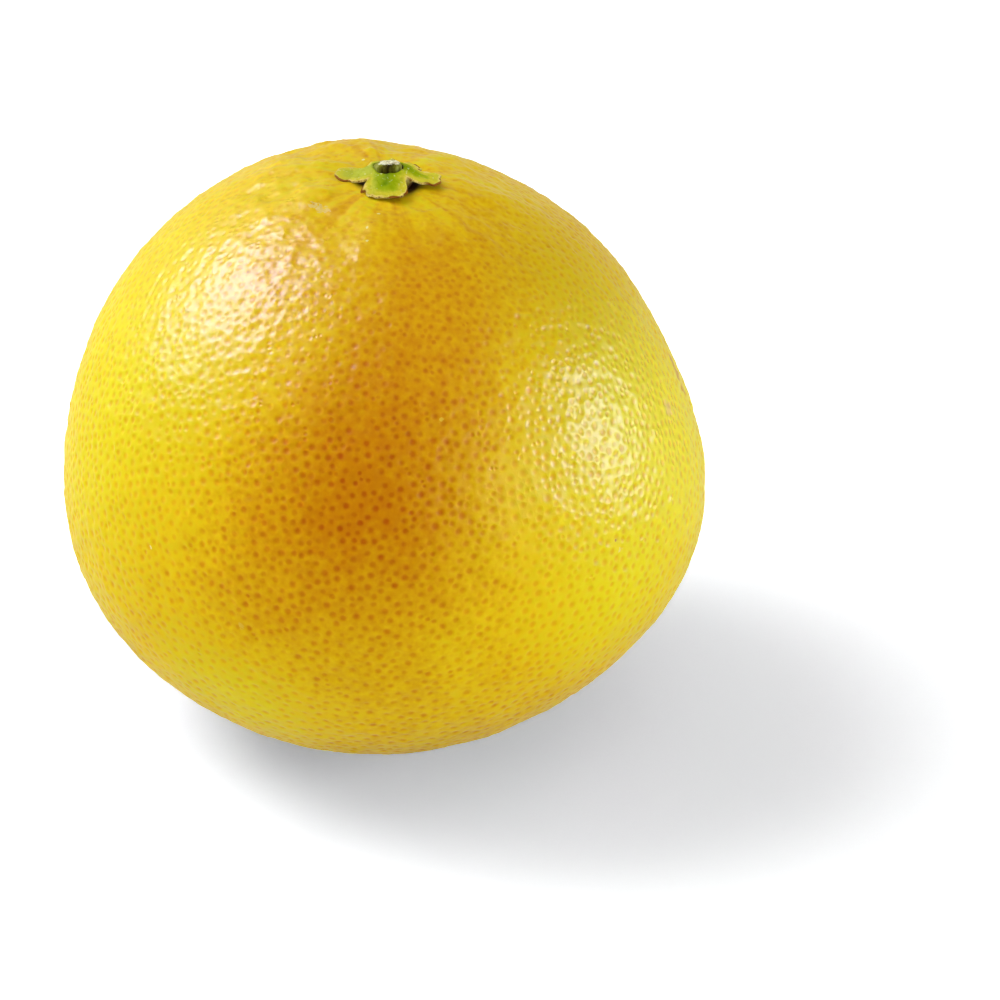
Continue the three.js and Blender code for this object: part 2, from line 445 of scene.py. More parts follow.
def calyxEdge(turn):
    # a lobe's sides run half width + growth * distance outwards, so they are reached at
    # half width / (|sin| - growth * cos); its end is a rounded corner between side and reach:
    # (side^-n + reach^-n)^(-1/n). The edge is the furthest lobe, with two spurs and a ragged rim
    c = calyxShape
    edge, least = np.zeros_like(turn), 0.01
    for degrees, reach, _, halfWidth, growth, square in c["lobes"]:
        off = turnFrom(turn, degrees)
        side = halfWidth / np.maximum(np.abs(np.sin(off)) - growth * np.cos(off), least)
        lobe = (reach ** -square + side ** -square) ** (-1 / square)
        edge = np.maximum(edge, np.where(np.cos(off) > 0, lobe, 0))
    for degrees, length, width in c["spurs"]:
        edge = edge + length * np.exp(-(np.degrees(turnFrom(turn, degrees)) / width) ** 2)
    return edge + ripples(onCircle(turn), [c["ragged"]], c["seed"])


def calyxLift(turn):
    # the height that the lobes lead out to, blended from lobe to lobe
    c = calyxShape
    away = [np.degrees(turnFrom(turn, lobe[0])) / c["liftBlend"] for lobe in c["lobes"]]
    weights = [np.exp(-each ** 2) for each in away]
    return sum(w * lobe[2] for w, lobe in zip(weights, c["lobes"])) / sum(weights)


def stemPoint(radius, turn, height):
    # a point by its distance and direction from the stem's axis
    x = fruitShape["stemX"] + radius * np.cos(turn)
    y = fruitShape["stemY"] + radius * np.sin(turn)
    return np.stack([x, y, height + 0 * radius], -1)


def skinRound(radius, turn):
    points = stemPoint(radius, turn, 0.0).reshape(-1, 3)
    return skinHeight(points[:, 0], points[:, 1]).reshape(radius.shape)


def calyxTop(radius, turn, edge):
    # a bell-shaped dome round the stem that runs out into the lobes, dented, with a curled rim,
    # and never closer to the skin than its own thickness
    c = calyxShape
    lift = calyxLift(turn)
    dome = seat + lift + (c["domeHeight"] - lift) * np.exp(-(radius / c["domeReach"]) ** 2)
    flat = stemPoint(radius, turn, 0.0).reshape(-1, 3)
    dome = dome + ripples(flat, c["dents"], c["dentSeed"]).reshape(dome.shape)
    dome = dome + c["rimCurl"] * smoothStep(edge - c["curlWidth"], edge, radius)
    return np.maximum(dome, skinRound(radius, turn) + c["thickness"] + c["topGap"])


def calyxMesh():
    c = calyxShape
    # columns spaced evenly along the edge, so that the lobes' steep sides get their share
    fineSteps = 7200
    fine = np.linspace(-np.pi, np.pi, fineSteps + 1)
    rim = stemPoint(calyxEdge(fine), fine, 0.0)
    along = np.concatenate([[0], np.cumsum(np.linalg.norm(np.diff(rim, axis=0), axis=1))])
    turn = np.interp(np.arange(c["turns"]) / c["turns"] * along[-1], along, fine)[None]
    edge = calyxEdge(turn[0])[None]
    wall = c["socketRadius"] + 0 * edge
    floor = seat + c["socketFloor"]
    half = c["thickness"] / 2
    rings = []
    # the socket: its floor out to the wall, and the wall up to a rounded lip
    for share in (0.5, 0.96):
        rings.append((wall * share, floor + 0 * edge))
    lip = calyxTop(wall + c["lipWidth"], turn, edge)
    for share in (0.15, 0.5, 0.8):
        rings.append((wall, floor + (lip - c["wallTop"] - floor) * share))
    across, down = c["lipRound"]
    for angle in np.radians((0, 30, 60, 90)):
        rings.append((wall + across * (1 - np.cos(angle)), lip - down * (1 - np.sin(angle))))
    # the top out to the edge, the rounded edge, and the underside back to the middle
    reach, start = edge - half, wall + c["lipWidth"]
    for share in np.linspace(0.06, 1, c["topRings"]):
        radius = start + (reach - start) * share
        rings.append((radius, calyxTop(radius, turn, edge)))
    rimTop = rings[-1][1]
    # painted shade under the lobes: the rings where it starts and is full
    shadeUnderStart = np.array([2, 6]) + len(rings)  # rings where the dark underside starts and is full
    for angle in np.radians((60, 30, 0, -30, -60)):
        rings.append((reach + half * np.cos(angle), rimTop - half + half * np.sin(angle)))
    for share in np.linspace(1, 0.12, c["underRings"]):
        radius = reach * share
        hidden = 1 - smoothStep(*c["hidden"], radius)
        lowest = skinRound(radius, turn) + c["clearance"] - c["hiddenSink"] * hidden
        below = calyxTop(radius, turn, edge) - c["thickness"] - c["hiddenDrop"] * hidden
        rings.append((radius, np.maximum(below, lowest)))
    radius, height = (np.concatenate(values) for values in zip(*rings))
    points = stemPoint(radius, turn, height)
    # what the paint needs: how far each point is from the rim, how green it is, which is less
    # out in the lobes, how dry it is, and how much painted shade darkens its underside and its socket
    gap = points[:, :, None, :2] - stemPoint(edge, turn, 0.0)[:, None, ::2, :2]
    inset = np.linalg.norm(gap, axis=-1).min(-1)
    green = inset - c["yellowing"] * np.maximum(radius - c["yellowFrom"], 0)
    dry = np.zeros_like(radius)
    for distance, degrees, width in c["dryTips"]:
        tip = stemPoint(np.array(distance), np.radians(degrees), 0.0)
        away = np.linalg.norm((points - tip)[..., :2], axis=-1) / width
        dry = np.maximum(dry, np.exp(-away ** 2))
    ringNumber = np.arange(len(radius))[:, None] + 0 * radius
    # painted shade in the socket round the stub
    socketShadeEnd = (3.5, 7.5)  # rings where the dark of the socket starts to fade and is gone
    under = np.maximum(smoothStep(*shadeUnderStart, ringNumber), 1 - smoothStep(*socketShadeEnd, ringNumber))
    middle = stemPoint(np.zeros(2), 0.0, np.array([floor, height[-1].mean()]))
    return points, middle, {"inset": inset, "green": green, "dry": dry, "under": under}


calyxPoints, calyxMiddle, calyxPaint = calyxMesh()
calyx = latheMesh("green_calyx", inPlace(calyxPoints), *inPlace(calyxMiddle), topFirst=True)
for name, ends in (("inset", (9, 9)), ("green", (9, 9)), ("dry", (0, 0)), ("under", (0, 1))):
    storeNumbers(calyx, name, "FLOAT", "POINT", np.append(calyxPaint[name].ravel(), ends))
print("calyx:", len(calyx.data.polygons), "faces")


stubShape = {
    "footRadius": 2.14,
    "topRadius": 1.36,
    "foot": 1.15,
    "top": 3.30,
    "slant": 0.28,
    "upright": 0.66,  # how high the side goes before it narrows
    "footX": -0.13,
    "leanX": 0.30,  # how far the cut end is beside the foot
    "shoulder": 0.92,  # where the cut end's rounded rim starts, as a share of the height
    "shoulderWidth": 0.2,  # as a share of the radius
    "sideWaves": [(1.1, 0.06), (0.45, 0.04), (0.2, 0.02)],  # wavelength round a circle of one, height
    "cutWaves": [(1.4, 0.06), (0.6, 0.05), (0.3, 0.03)],  # mm
    "roughFrom": 0.8,  # share of the height from which the cut's roughness reaches down the side
    # painted light and shade on the side: the stretches that face the lamps are painted lighter and the one
    # that faces the front darker; direction in degrees, width in degrees
    "litStretches": [(-165, 42), (-28, 34)],
    "shadedStretch": [(-88, 30)],
    "turns": 220,
    "sideRings": 18,
    "cutRings": 9,
    "seed": 9,
    "cutSeed": 14,
}


def stubMesh():
    # a peg that narrows towards its top, with lengthwise ridges and grooves, a rounded shoulder
    # and a slanting, ragged cut end: radius = share * (foot + (top - foot) * narrowing + ridges),
    # narrowing = ((level - upright) / (1 - upright))^2
    s = stubShape
    turn = np.arange(s["turns"]) / s["turns"] * 2 * np.pi
    ridges = ripples(onCircle(turn), s["sideWaves"], s["seed"])
    # the profile, as shares of the radius and of the height: foot, side, shoulder and cut
    profile = [(share, 0.0) for share in (0.5, 0.97)]
    profile += [(1.0, level) for level in np.linspace(0.03, s["shoulder"], s["sideRings"])]
    width, rest = s["shoulderWidth"], 1 - s["shoulder"]
    profile += [(1 - width * (1 - np.cos(angle)), s["shoulder"] + rest * np.sin(angle))
                for angle in np.radians((20, 40, 60, 80))]
    profile += [(share, 1.0) for share in np.linspace(0.74, 0.1, s["cutRings"])]
    share, level = (np.array(values)[:, None] for values in zip(*profile))
    narrowing = np.clip((level - s["upright"]) / (1 - s["upright"]), 0, 1) ** 2
    radius = share * (s["footRadius"] + (s["topRadius"] - s["footRadius"]) * narrowing + ridges)
    flat = np.stack([radius * np.cos(turn), radius * np.sin(turn), 0 * radius], -1).reshape(-1, 3)
    rough = ripples(flat, s["cutWaves"], s["cutSeed"]).reshape(radius.shape)
    height = s["foot"] + (s["top"] - s["foot"] - s["slant"] * radius * np.sin(turn)) * level
    height = seat + height + rough * smoothStep(s["roughFrom"], 1.0, level)
    points = stemPoint(radius, turn, height)
    points[..., 0] += s["footX"] + s["leanX"] * narrowing
    middle = stemPoint(np.zeros(2), 0.0, seat + np.array([s["foot"], s["top"]]))
    middle[:, 0] += [s["footX"], s["footX"] + s["leanX"]]
    # what the paint needs: the level, and how much painted light and painted shade each stretch of the side
    # gets
    paint = {"level": level + 0 * radius}
    for lighting in ("litStretches", "shadedStretch"):
        away = [np.degrees(turnFrom(turn, degrees)) / width for degrees, width in s[lighting]]
        paint[lighting] = sum(np.exp(-each ** 2) for each in away) + 0 * radius
    return points, middle, paint


stubPoints, stubMiddle, stubPaint = stubMesh()
stub = latheMesh("stem_end", inPlace(stubPoints), *inPlace(stubMiddle))
for name, ends in (("level", (0, 1)), ("litStretches", (0, 0)), ("shadedStretch", (0, 0))):
    storeNumbers(stub, name, "FLOAT", "POINT", np.append(stubPaint[name].ravel(), ends))
print("stub:", len(stub.data.polygons), "faces")


def newFinish(name):
    finish = bpy.data.materials.new(name)
    finish.use_nodes = True
    return finish, finish.node_tree, finish.node_tree.nodes["Principled BSDF"]


def feed(tree, socket, value):
    # gives a socket a value or another node's output
    if isinstance(value, bpy.types.NodeSocket):
        tree.links.new(value, socket)
    else:
        socket.default_value = value


def put(tree, kind, settings=None, **sockets):
    # adds a node: settings are its properties, sockets its inputs by name or by n and a number
    node = tree.nodes.new(kind)
    for key, value in (settings or {}).items():
        setattr(node, key, value)
    for key, value in sockets.items():
        feed(tree, node.inputs[int(key[1:]) if key[1:].isdigit() else key], value)
    return node


def mathOf(tree, operation, a, b=0.0, c=0.0):
    return put(tree, "ShaderNodeMath", {"operation": operation}, n0=a, n1=b, n2=c).outputs[0]


def vectorOf(tree, operation, a, **more):
    return put(tree, "ShaderNodeVectorMath", {"operation": operation}, n0=a, **more).outputs[0]


def lengthOf(tree, vector):
    return put(tree, "ShaderNodeVectorMath", {"operation": "LENGTH"}, n0=vector).outputs["Value"]


def distanceOf(tree, heading, direction):
    # how far a point of the ball of radius one is from a direction
    middle = tuple(unit(np.array(direction)))
    settings = {"operation": "DISTANCE"}
    return put(tree, "ShaderNodeVectorMath", settings, n0=heading, n1=middle).outputs["Value"]


def measuredFrom(tree, where, origin):
    # places counted from another origin
    settings = {"vector_type": "TEXTURE"}
    return put(tree, "ShaderNodeMapping", settings, Vector=where, Location=origin).outputs[0]


def blendOf(tree, share, a, b, mode="MIX"):
    settings = {"data_type": "RGBA", "blend_type": mode}
    return put(tree, "ShaderNodeMix", settings, n0=share, n6=a, n7=b).outputs[2]


def rangeOf(tree, value, low, high, start=0.0, end=1.0, kind="SMOOTHSTEP"):
    # start at low, end at high, and an S curve or a straight line between them
    settings = {"interpolation_type": kind}
    limits = {"n1": low, "n2": high, "n3": start, "n4": end}
    return put(tree, "ShaderNodeMapRange", settings, n0=value, **limits).outputs[0]


def rampOf(tree, share, stops):
    # a colour ramp through (position, colour) stops
    ramp = put(tree, "ShaderNodeValToRGB", None, Fac=share)
    marks = ramp.color_ramp.elements
    while len(marks) < len(stops):
        marks.new(1.0)
    for mark, (position, colour) in zip(marks, stops):
        mark.position = position
        mark.color = colour + (1,)
    return ramp.outputs[0]


def noiseOf(tree, where, size, detail=2.0, roughness=0.5):
    # size is the width of one patch, in metres
    return put(tree, "ShaderNodeTexNoise", None, Vector=where, Scale=1 / size, Detail=detail,
               Roughness=roughness).outputs[0]


def wander(tree, base, where, size, amount, detail=2.0):
    # a base plus a noise from -amount to amount
    linked = isinstance(base, bpy.types.NodeSocket)
    start = mathOf(tree, "SUBTRACT", base, amount) if linked else base - amount
    return mathOf(tree, "MULTIPLY_ADD", noiseOf(tree, where, size, detail), 2 * amount, start)


def numberOf(tree, name):
    # a number that the mesh keeps
    return put(tree, "ShaderNodeAttribute", {"attribute_name": name}).outputs["Fac"]


def bumpOf(tree, distance, height, invert=False, **below):
    # bumps as high as a height from 0 to 1 times distance, in metres, over the bumps below
    return put(tree, "ShaderNodeBump", {"invert": invert}, Strength=1.0, Distance=distance,
               Height=height, **below).outputs[0]


def dress(tree, shader, tone, roughness, gloss, bumps):
    # joins a finish to its shader
    tree.links.new(tone, shader.inputs["Base Color"])
    feed(tree, shader.inputs["Roughness"], roughness)
    shader.inputs["Specular IOR Level"].default_value = gloss
    tree.links.new(bumps, shader.inputs["Normal"])


peelFinish = {
    # the skin between pits, from the palest greenish yellow (0) to the deepest orange (1)
    "ripening": [
        (0.0, (0.90, 0.770, 0.010)),
        (0.2, (0.885, 0.682, 0.006)),
        (0.4, (0.91, 0.612, 0.004)),
        (0.6, (0.81, 0.420, 0.002)),
        (0.8, (0.71, 0.270, 0.001)),
        (1.0, (0.64, 0.180, 0.001)),
    ],
    "evenRipeness": 0.437,
    # riper and paler patches: direction from the middle, reach over a ball of radius one, amount
    # Over the skin's own uneven ripeness these patches also hold painted light and shade: the riper front
    # and stem patches are partly painted shade, the yellower left and greener right sides partly painted
    # light, and the peachy left shoulder makes the skin riper under the main highlight to give that
    # highlight its peach tone
    "patches": {
        "low front blush": ((-0.42, -0.91, 0.02), 0.80, 0.19),
        "upper front blush": ((-0.03, -0.89, 0.45), 0.64, 0.39),
        "blush towards the stem": ((0.30, -0.47, 0.83), 0.67, 0.34),
        "paler round the stem": ((0.05, -0.14, 0.99), 0.40, -0.07),
        "greener right side": ((0.88, -0.20, 0.43), 1.21, -0.57),
        "pale left underside": ((-0.44, -0.80, -0.41), 0.46, -0.33),
        "pale low right": ((0.68, -0.71, -0.16), 0.38, -0.20),
        "ripe right shoulder": ((0.76, 0.05, 0.65), 0.69, 0.37),
        "yellow left side": ((-0.87, -0.26, 0.43), 1.28, -0.38),
        "peachy left shoulder": ((-0.38, -0.40, 0.83), 0.42, 0.20),
        "paler back": ((0.25, 0.96, 0.15), 0.80, -0.22),
        "back left blush": ((-0.60, 0.76, 0.25), 0.60, 0.16),
    },
    # painted shade: a darker upper right side; direction from the middle, reach, how much darker
    "shadedUpperRight": ((0.59, -0.24, 0.77), 0.68, 0.16),
    "mottleSize": 0.009,  # metres
    "mottle": 0.10,
    "fleckSize": 0.0013,
    "flecking": 0.22,
    # what a pit multiplies the skin's colour by, on pale and on ripe skin
    "palePit": (0.94, 0.70, 0.10, 1),
    "ripePit": (0.72, 0.26, 0.08, 1),
    "pitRipeness": (0.3, 0.9),
    "pitEdge": (1.5, 0.3),  # distances from a pit, in its radii, where its colour starts and is full
    # streaks that run out from the stem: how much they change the ripeness, their size on a
    # circle of one, and the distances from the stem where they start and end
    "streaking": 0.65,
    "streakSize": 0.24,
    "streakStart": (0.005, 0.008),
    "streakEnd": (0.022, 0.009),
    "upperZone": (0.030, 0.035),  # heights over the middle where the stem's end of the fruit starts
    # marks: direction from the middle, reach in millimetres, colour, how ragged
    "marks": {
        "scar": ((-0.175, -0.196, 0.965), 1.0, (0.86, 0.62, 0.17), 1.6),
        "scar left": ((-0.190, -0.184, 0.965), 0.7, (0.88, 0.66, 0.22), 1.6),
        "scar right": ((-0.154, -0.207, 0.966), 0.6, (0.86, 0.62, 0.17), 1.6),
        # the four specks are painted glints: small bright spots of gloss painted as pale colour
        "white speck": ((-0.042, 0.143, 0.989), 0.28, (1.00, 0.92, 0.45), 0.3),
        "speck left": ((0.006, -0.235, 0.972), 0.26, (1.00, 0.92, 0.45), 0.3),
        "speck middle": ((-0.030, -0.308, 0.951), 0.24, (1.00, 0.92, 0.45), 0.3),
        "speck low": ((-0.030, -0.364, 0.931), 0.24, (1.00, 0.92, 0.45), 0.3),
        "tan scar": ((0.927, -0.251, 0.280), 1.5, (0.90, 0.64, 0.20), 1.6),
        "brown streak top": ((0.955, 0.040, 0.295), 1.5, (0.62, 0.27, 0.015), 0.5),
        "brown streak": ((0.967, 0.020, 0.257), 1.5, (0.62, 0.27, 0.015), 0.5),
        "brown streak end": ((0.977, 0.000, 0.212), 1.2, (0.66, 0.31, 0.02), 0.5),
        "red dot": ((0.708, -0.704, 0.066), 0.30, (0.36, 0.07, 0.01), 0.2),
        "pale nick": ((0.720, -0.693, 0.030), 0.45, (0.93, 0.80, 0.30), 0.8),
        "front nick": ((0.182, -0.813, 0.554), 0.28, (0.88, 0.62, 0.05), 0.5),
        "left nick": ((-0.693, -0.716, 0.079), 0.28, (1.00, 0.92, 0.45), 0.4),
        "low scratch": ((-0.425, -0.901, -0.087), 0.45, (0.88, 0.58, 0.06), 0.8),
        "back scar": ((-0.35, 0.90, 0.25), 1.2, (0.78, 0.46, 0.08), 1.4),
        "back nick": ((0.55, 0.80, 0.20), 0.5, (0.55, 0.25, 0.05), 0.7),
    },
    "markShare": 0.75,
    "markCore": 0.6,  # share of its reach within which a mark is whole
    "raggedSize": 0.0006,
    # painted shade round the stem, in the crevice under the calyx: its near-black colour, and the distances
    # from the stem's axis where it starts and is full
    "stemShadeTone": (0.05, 0.022, 0.006, 1),
    "stemShade": (0.0062, 0.0042),  # distances from the stem's axis where the dark starts and is full
    "roughness": 0.36,
    "pitRoughness": 0.41,
    "roughZone": (0.2, 0.9),  # shares of a pit's colour between which the roughness changes
    "gloss": 0.05,
    "pitBump": 0.00012,
    "pitWall": (1.9, 0.1),  # distances from a pit, in its radii, where its wall starts and ends
    "cellSize": 0.0018,
    "cellBump": 0.00009,
    "grainSize": 0.0005,
    "grainBump": 0.000012,
}


def ripenessOf(tree, heading, where):
    # an even ripeness, plus for each patch its amount times an S curve that falls from 1 at its
    # direction to 0 at its reach, plus a cloudy mottle and fine flecks
    p = peelFinish
    ripe = wander(tree, p["evenRipeness"], where, p["mottleSize"], p["mottle"], 3)
    ripe = wander(tree, ripe, where, p["fleckSize"], p["flecking"])
    for direction, reach, amount in p["patches"].values():
        away = distanceOf(tree, heading, direction)
        ripe = mathOf(tree, "ADD", ripe, rangeOf(tree, away, reach, 0.0, 0.0, amount))
    return ripe


def streaksOf(tree, aside, outwards, upper):
    # how much riper or paler the streaks that run out from the stem make the skin
    p = peelFinish
    streak = wander(tree, 0.0, outwards, p["streakSize"], p["streaking"], 3)
    start, end = rangeOf(tree, aside, *p["streakStart"]), rangeOf(tree, aside, *p["streakEnd"])
    reach = mathOf(tree, "MULTIPLY", mathOf(tree, "MULTIPLY", start, end), upper)
    return mathOf(tree, "MULTIPLY", streak, reach)


def marksOf(tree, tone, heading, where):
    # round marks whose edges a noise makes ragged, each over the last
    p = peelFinish
    breaks = mathOf(tree, "SUBTRACT", noiseOf(tree, where, p["raggedSize"], 2), 0.5)
    for direction, reach, colour, ragged in p["marks"].values():
        away, shift = distanceOf(tree, heading, direction), mathOf(tree, "MULTIPLY", breaks, 2 * ragged)
        far = mathOf(tree, "MULTIPLY_ADD", away, fruitShape["equatorRadius"], shift)
        share = rangeOf(tree, far, reach, p["markCore"] * reach, 0.0, p["markShare"])
        tone = blendOf(tree, share, tone, colour + (1,))
    return tone


stemAxis = tuple((place + [fruitShape["stemX"], fruitShape["stemY"], 0]) * millimetre)


def peelMaterial():
    p = peelFinish
    finish, tree, shader = newFinish("peel")
    where = put(tree, "ShaderNodeTexCoord").outputs["Object"]
    centred = measuredFrom(tree, where, tuple(place * millimetre))
    heading = vectorOf(tree, "NORMALIZE", centred)
    flat = vectorOf(tree, "MULTIPLY", measuredFrom(tree, where, stemAxis), n1=(1, 1, 0))
    aside = lengthOf(tree, flat)
    height = put(tree, "ShaderNodeSeparateXYZ", None, Vector=centred).outputs["Z"]
    upper = rangeOf(tree, height, *p["upperZone"])
    streaks = streaksOf(tree, aside, vectorOf(tree, "NORMALIZE", flat), upper)
    ripe = mathOf(tree, "ADD", ripenessOf(tree, heading, where), streaks)
    ripe = put(tree, "ShaderNodeClamp", None, Value=ripe).outputs[0]
    tone = rampOf(tree, ripe, p["ripening"])
    # painted shade: the skin darkened towards the upper right
    direction, farthest, darker = p["shadedUpperRight"]
    shadeScale = rangeOf(tree, distanceOf(tree, heading, direction), farthest, 0.0, 1.0, 1 - darker)
    tone = vectorOf(tree, "SCALE", tone, Scale=shadeScale)
    # the pits: round spots, soft at the edge
    offset = put(tree, "ShaderNodeAttribute", {"attribute_name": "pitOffset"}).outputs["Vector"]
    away = lengthOf(tree, offset)
    power = numberOf(tree, "pitPower")
    spotShare = mathOf(tree, "MULTIPLY", rangeOf(tree, away, *p["pitEdge"]), power)
    pitRipe = rangeOf(tree, ripe, *p["pitRipeness"], kind="LINEAR")
    pitTone = blendOf(tree, 1.0, tone, blendOf(tree, pitRipe, p["palePit"], p["ripePit"]), "MULTIPLY")
    tone = blendOf(tree, spotShare, tone, pitTone)
    tone = marksOf(tree, tone, heading, where)
    # painted shade: the skin round the stem darkened towards black in the crevice under the calyx
    stemShade = mathOf(tree, "MULTIPLY", rangeOf(tree, aside, *p["stemShade"]), upper)
    tone = blendOf(tree, stemShade, tone, p["stemShadeTone"])
    # the pits are duller than the skin between them
    roughness = rangeOf(tree, spotShare, *p["roughZone"], p["roughness"], p["pitRoughness"])
    # gloss breaks up on the pits' walls, on cells between them and on a fine waxy grain
    bowl = mathOf(tree, "MULTIPLY", rangeOf(tree, away, *p["pitWall"]), power)
    bumps = bumpOf(tree, p["pitBump"], bowl, invert=True)
    bumps = bumpOf(tree, p["cellBump"], noiseOf(tree, where, p["cellSize"], 0.5), Normal=bumps)
    bumps = bumpOf(tree, p["grainBump"], noiseOf(tree, where, p["grainSize"], 1), Normal=bumps)
    dress(tree, shader, tone, roughness, p["gloss"], bumps)
    return finish


calyxFinish = {
    "dome": (0.145, 0.27, 0.001, 1),
    "flesh": (0.38, 0.48, 0.003, 1),
    "lobe": (0.74, 0.66, 0.040, 1),
    "pale": (0.58, 0.60, 0.060, 1),
    # painted light: a paler green for the dome's left side, where the main lamps fall
    "fleck": (0.86, 0.84, 0.36, 1),
    "rim": (0.88, 0.70, 0.17, 1),
    "dried": (0.33, 0.115, 0.012, 1),
    # near-black painted shade for the underside of the lobes and the socket round the stub
    "underside": (0.05, 0.022, 0.008, 1),
    # distances from the rim, in millimetres, where each colour starts and is full
    "fleshZone": (0.3, 1.8),
    "domeZone": (1.6, 3.4),
    "rimZone": (0.0, 0.5),
    "cloudSize": 0.0013,  # metres
    "cloud": 0.8,  # how far those lines wander, mm
    # painted light on the dome's left side: where it starts beside the stem, how far in from the rim, and
    # how strong
    "litSideDistance": (-0.0014, -0.0030),  # distances beside the stem where the pale left side starts
    "litSideInset": (0.4, 1.6),
    "litSideShare": 0.8,
    "fleckSize": 0.00045,
    "fleckZone": (0.62, 0.78),
    "fleckShare": 0.6,
    "driedSize": 0.0006,
    "driedRagged": 0.25,
    "driedTip": 0.3,  # how much broader the dried line is at the dry places
    "driedZone": (-0.05, 0.12),
    "roughness": 0.50,
    "gloss": 0.004,
    "bumpSize": 0.0009,
    "bump": 0.00024,
}


def calyxMaterial():
    c = calyxFinish
    finish, tree, shader = newFinish("calyx_green")
    where = put(tree, "ShaderNodeTexCoord").outputs["Object"]
    inset, green, dry, under = (numberOf(tree, name) for name in ("inset", "green", "dry", "under"))
    # the distance from the rim, made ragged; green in the middle, yellower lobes, a pale rim
    cloud = wander(tree, 0.0, where, c["cloudSize"], c["cloud"], 3)
    greener, inner = mathOf(tree, "ADD", green, cloud), mathOf(tree, "ADD", inset, cloud)
    tone = blendOf(tree, rangeOf(tree, greener, *c["domeZone"]), c["flesh"], c["dome"])
    tone = blendOf(tree, rangeOf(tree, greener, *c["fleshZone"]), c["lobe"], tone)
    tone = blendOf(tree, rangeOf(tree, inner, *c["rimZone"]), c["rim"], tone)
    # painted light: paler on the left of the dome, where the main lamps fall, with small light-coloured
    # flecks all over
    fromStem = measuredFrom(tree, where, stemAxis)
    aside = put(tree, "ShaderNodeSeparateXYZ", None, Vector=fromStem).outputs["X"]
    left = rangeOf(tree, aside, *c["litSideDistance"], 0.0, c["litSideShare"])
    pale = mathOf(tree, "MULTIPLY", left, rangeOf(tree, inset, *c["litSideInset"]))
    tone = blendOf(tree, pale, tone, c["pale"])
    flecks = noiseOf(tree, where, c["fleckSize"], 1)
    tone = blendOf(tree, rangeOf(tree, flecks, *c["fleckZone"], 0.0, c["fleckShare"]), tone, c["fleck"])
    # dried brown: a thin line at the rim, broader at the dry places
    ragged = wander(tree, inset, where, c["driedSize"], c["driedRagged"])
    shrunk = mathOf(tree, "SUBTRACT", ragged, mathOf(tree, "MULTIPLY", dry, c["driedTip"]))
    tone = blendOf(tree, rangeOf(tree, shrunk, *c["driedZone"]), c["dried"], tone)
    # painted shade: the underside and the socket round the stub darkened to near black
    tone = blendOf(tree, under, tone, c["underside"])
    bumps = bumpOf(tree, c["bump"], noiseOf(tree, where, c["bumpSize"], 3))
    dress(tree, shader, tone, c["roughness"], c["gloss"], bumps)
    return finish


stubFinish = {
    # the side, from the darkest streaks to the lightest
    "side": [
        (0.30, (0.030, 0.022, 0.002)),
        (0.48, (0.090, 0.080, 0.006)),
        (0.62, (0.210, 0.215, 0.018)),
        (0.75, (0.380, 0.390, 0.070)),
    ],
    "paintedLightLift": 0.26,  # how much lighter the painted light makes the lit stretches
    "paintedShadeDrop": 0.20,  # how much darker the painted shade makes the front stretch
    "streakSize": 0.0005,  # metres
    "streakShare": 0.6,  # the rest is broader stretches
    "stretchSize": 0.0022,
    "alongStem": 0.12,  # how much the streaks are squeezed in height, which draws them out
    "cutDark": (0.66, 0.52, 0.22, 1),
    "cutPale": (1.00, 0.95, 0.70, 1),
    "cutSize": 0.0006,
    "cutZone": (0.3, 0.6),
    "cutLine": (0.91, 0.97),  # levels where the pale cut wood starts and is full
    "cutRagged": 0.15,
    "raggedSize": 0.0007,
    "roughness": 0.85,
    "gloss": 0.006,
    "bump": 0.0002,
}


def stubMaterial():
    s = stubFinish
    finish, tree, shader = newFinish("stem_wood")
    where = put(tree, "ShaderNodeTexCoord").outputs["Object"]
    level = numberOf(tree, "level")
    # fine streaks along the stem over broader dark and light stretches round it
    along = put(tree, "ShaderNodeMapping", None, Vector=where, Scale=(1, 1, s["alongStem"])).outputs[0]
    streaks, stretches = noiseOf(tree, along, s["streakSize"], 3), noiseOf(tree, along, s["stretchSize"], 1)
    light = mathOf(tree, "MULTIPLY", stretches, 1 - s["streakShare"])
    light = mathOf(tree, "MULTIPLY_ADD", streaks, s["streakShare"], light)
    # painted light on the stretches that face the lamps, painted shade on the one that faces the front
    light = mathOf(tree, "MULTIPLY_ADD", numberOf(tree, "litStretches"), s["paintedLightLift"], light)
    light = mathOf(tree, "MULTIPLY_ADD", numberOf(tree, "shadedStretch"), -s["paintedShadeDrop"], light)
    side = rampOf(tree, light, s["side"])
    paler = rangeOf(tree, noiseOf(tree, where, s["cutSize"], 2), *s["cutZone"])
    cut = blendOf(tree, paler, s["cutDark"], s["cutPale"])
    # the pale cut wood starts at a ragged line
    ragged = wander(tree, level, where, s["raggedSize"], s["cutRagged"])
    tone = blendOf(tree, rangeOf(tree, ragged, *s["cutLine"]), side, cut)
    dress(tree, shader, tone, s["roughness"], s["gloss"], bumpOf(tree, s["bump"], streaks))
    return finish


for piece, node, slot, finish in (
    (fruit, "fruit", "peel", peelMaterial()),
    (calyx, "calyx", "calyx_green", calyxMaterial()),
    (stub, "stem_stub", "stem_wood", stubMaterial()),
):
    piece.data.materials.append(finish)
    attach(piece, "root")
    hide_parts(node)
fruit.visible_diffuse = False  # its yellow isn't thrown on the table, which stays neutral
print("materials made")


table = {
    "size": 4.0,
    "white": (0.9, 0.9, 0.9, 1),
    "seenWhite": (1.68, 1.68, 1.69, 1),
    "roughness": 0.9,
    "fade": (0.35, 0.85),  # how far out it fades into the white backdrop, metres
}
plainWhite = (1, 1, 1, 1)


def mixOf(tree, share, a, b):
    return put(tree, "ShaderNodeMixShader", None, n0=share, n1=a, n2=b).outputs[0]


